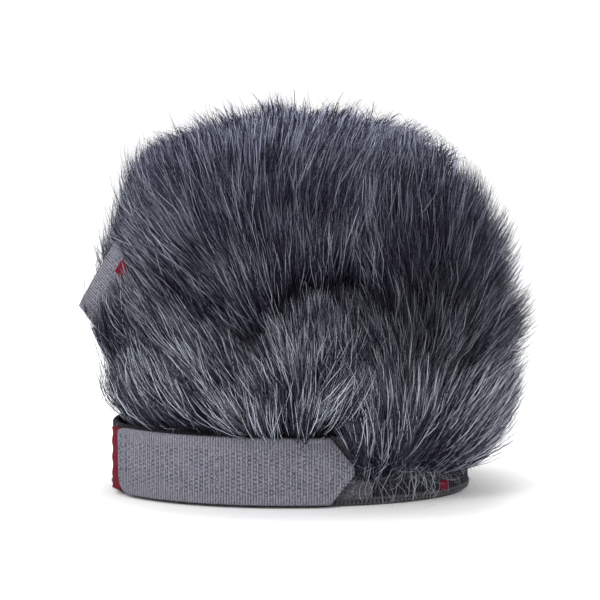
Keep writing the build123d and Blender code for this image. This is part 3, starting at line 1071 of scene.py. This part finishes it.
def stitch_row(points, outward, length, gap):
    """Lay stitches along a line of points: each dips at both ends and stands proud between."""
    step = np.linalg.norm(np.diff(points, axis=0), axis=1)
    run = np.concatenate([[0], np.cumsum(step)])
    count = max(1, int((run[-1] + gap) / (length + gap)))
    starts = (np.arange(count) + 0.5) * run[-1] / count - length / 2
    t = np.linspace(0, 1, 7)
    where = starts[:, None] + t[None] * length
    path = np.stack([np.interp(where, run, points[:, i]) for i in range(3)], -1)
    normal = np.stack([np.interp(where, run, outward[:, i]) for i in range(3)], -1)
    return path + normal * (THREAD_RADIUS * 1.1 * np.sin(pi * t) - 0.08)[None, :, None]


def band_normal(turn):
    """Outward unit normal of the band at an ellipse angle."""
    return unit(np.stack([np.cos(turn) / BAND_WIDE, np.sin(turn) / BAND_DEEP, 0 * turn], -1))


def stitches_piece(name, rows, node, material):
    """Make one piece of thread from several rows of stitches, and let it stand for a CAD node."""
    vertices, quads = tube_along(np.concatenate(rows), THREAD_RADIUS, 6)
    piece = new_piece(name, vertices, quads[:, ::-1], material)
    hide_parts(node)


def build_stitching():
    """Make the stitching of the strap's sewn end and of the loop tape. Return its thread."""
    thread = thread_material("sewing_thread", (0.10, 0.10, 0.125))
    z = np.linspace(7.2, 19.6, 30)
    rows = []
    for direction in (198.0, 200.6):
        a = radians(direction)
        turn = np.full(30, np.arctan2(BAND_WIDE * sin(a), BAND_DEEP * cos(a)))
        rows.append(stitch_row(band_line(turn, 2.62, z), band_normal(turn), 1.7, 0.7))
    stitches_piece("strap_sewing", rows, "strap_root_thread", thread)
    left, right = np.arccos(-7.0 / 55), np.arccos(23.0 / 55)
    turns = 2 * pi - np.linspace(left, right, 60)
    low, high, out, stitch, gap = 3.8, 19.4, 0.78, 1.9, 0.8
    rows = [stitch_row(band_line(turns, out, np.full(60, level)), band_normal(turns), stitch, gap)
            for level in (low, high)]
    for edge in (turns[0], turns[-1]):
        turn, level = np.full(30, edge), np.linspace(low, high, 30)
        rows.append(stitch_row(band_line(turn, out, level), band_normal(turn), stitch, gap))
    stitches_piece("loop_tape_sewing", rows, "loop_patch_thread", thread)
    return thread


# ---------------------------------------------------------------- labels

def label_material():
    """Plain red woven tape: fine cross ribs, with painted shade that makes the hollows slightly darker."""
    n = Nodes("label_red_weave", 0.8, Specular_IOR_Level=0.1)
    weave = n.add("ShaderNodeTexWave", wave_type="BANDS", bands_direction="Z")
    weave.inputs["Scale"].default_value = 700
    weave.inputs["Distortion"].default_value = 1.5
    n.link(n.place(), weave.inputs["Vector"])
    height = n.maths("ADD", weave.outputs["Fac"], n.noise(3000, 2))
    n.bump(height, 0.5, 0.0002)
    # painted shade: the colour follows the weave's height, darker in its hollows
    return n.colour(n.ramp(n.maths("MULTIPLY", height, 0.5), [(0.25, (0.045, 0.003, 0.008)),
                                                              (0.7, (0.19, 0.010, 0.026))]))


def build_labels(red):
    """Make the red label at the strap's sewn end and the small one low on the band."""
    for name, start, end, low, high, middle, thick in (
            ("label_side", 191.8, 196.6, 1.6, 20.4, 1.4, 1.6),
            ("label_corner", 335.5, 339.2, 2.5, 5.5, 0.55, 0.5)):
        turns, _ = turn_at_length(start, end, 0.2)
        outline = box_outline(thick, low, high, 24, 0.3)
        vertices, quads, _ = slab_along(turns, middle, outline,
                                        lambda turn, z, out: 0.15 * np.sin(z * 1.3 + 9 * turn))
        piece = new_piece(name + "_tape", vertices, quads, red)
        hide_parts(name)


# ---------------------------------------------------------------- side tab

def tab_point(along, across, off):
    """A point in the tab's own plane: along it, across it and off its face."""
    local = np.stack(np.broadcast_arrays(along, across, off), -1)
    return TAB_MIDDLE + local @ TAB_AXES


TAB_SEWN, TAB_STEP = 8.0, 0.2075


def tab_slab(start, end, width, low, high, step=TAB_STEP, curl=0.0):
    """Return a rounded slab in the tab's plane. Its free corners curl up a little off the face."""
    along = np.linspace(start, end, int((end - start) / step) + 2)
    outline = box_outline(high - low, -width / 2, width / 2, 22, 0.12)
    a, off = np.meshgrid(along, outline[:, 0], indexing="ij")
    across = np.broadcast_to(outline[:, 1], a.shape)
    lift = curl * np.clip(a / TAB_LENGTH, 0, 1) ** 2 * (across / (width / 2))
    ring = tab_point(a, across, (low + high) / 2 + off + lift)
    return *closed_slab(ring), along, across + width / 2 + 1, a.shape


def build_tab(red, thread):
    """Make the side tab from sewn end to free end, its red label and its stitching."""
    tape = bpy.data.materials["hook_tape"]
    vertices, quads, s, z, shape = tab_slab(-TAB_SEWN, TAB_LENGTH, TAB_WIDTH, -0.6, 0.6, curl=0.8)
    tab = new_piece("side_tab_tape", vertices, quads, tape, body=None)
    lay_cloth_map(tab, s, z, shape)
    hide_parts("tab_root", "tab_strap")
    start, stop = tab_point(-2.5, 0, 0) * MM, tab_point(4.5, 0, 0) * MM
    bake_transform(tab)
    vertices, quads, *_ = tab_slab(-6.5, -1.5, 8.0, 0.62, 1.3, step=0.4)
    label = new_piece("side_tab_label", vertices, quads, red)
    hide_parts("tab_label")
    across = np.linspace(-8.5, 8.5, 40)
    points = tab_point(np.full(40, -7.3), across, np.full(40, 0.6))
    rows = [stitch_row(points, np.broadcast_to(TAB_AXES[2], points.shape), 1.8, 0.8)]
    stitches_piece("side_tab_sewing", rows, "tab_thread", thread)


# ---------------------------------------------------------------- lining

def lining_material():
    """Black spacer cloth with rows of small open cells, painted darker in their hollows as shade."""
    n = Nodes("lining_spacer_cloth", 0.9, Specular_IOR_Level=0.2)
    cells = n.add("ShaderNodeTexVoronoi", feature="F1")
    cells.inputs["Scale"].default_value = 480
    n.link(n.place(), cells.inputs["Vector"])
    n.bump(cells.outputs["Distance"], 0.9, 0.0006)
    # painted shade: darkest at the middle of each cell, where its hollow is
    return n.colour(n.ramp(cells.outputs["Distance"], [
        (0.12, (0.002, 0.002, 0.003)), (0.45, (0.022, 0.022, 0.026)), (0.8, (0.05, 0.05, 0.058))]))


def build_lining():
    """Make the lining: a tube that follows the hood inside and a dome that closes it."""
    cloth = lining_material()
    turn = np.linspace(0, 2 * pi, 120, endpoint=False)
    for name, low, high, dome in (("lining_side", 4.2 - HOOD_FOOT, up_at_height(89.8), False),
                                  ("lining_crown", up_at_height(89.9), UP_LENGTH - 0.02, True)):
        up = np.linspace(low, high, 26)
        outer, inner = hood_grid(turn, up, 0.7, 0.5), hood_grid(turn, up, 1.5, 1.3 if dome else 0.5)
        vertices, quads = two_layers(outer, inner, wrap=True, cap=dome)
        piece = new_piece(name + "_cloth", vertices, quads, cloth)
        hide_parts(name)


build_band()
build_overlock()
build_strap()
build_loop_patch()
sewing = build_stitching()
label_red = label_material()
build_labels(label_red)
build_tab(label_red, sewing)
build_lining()
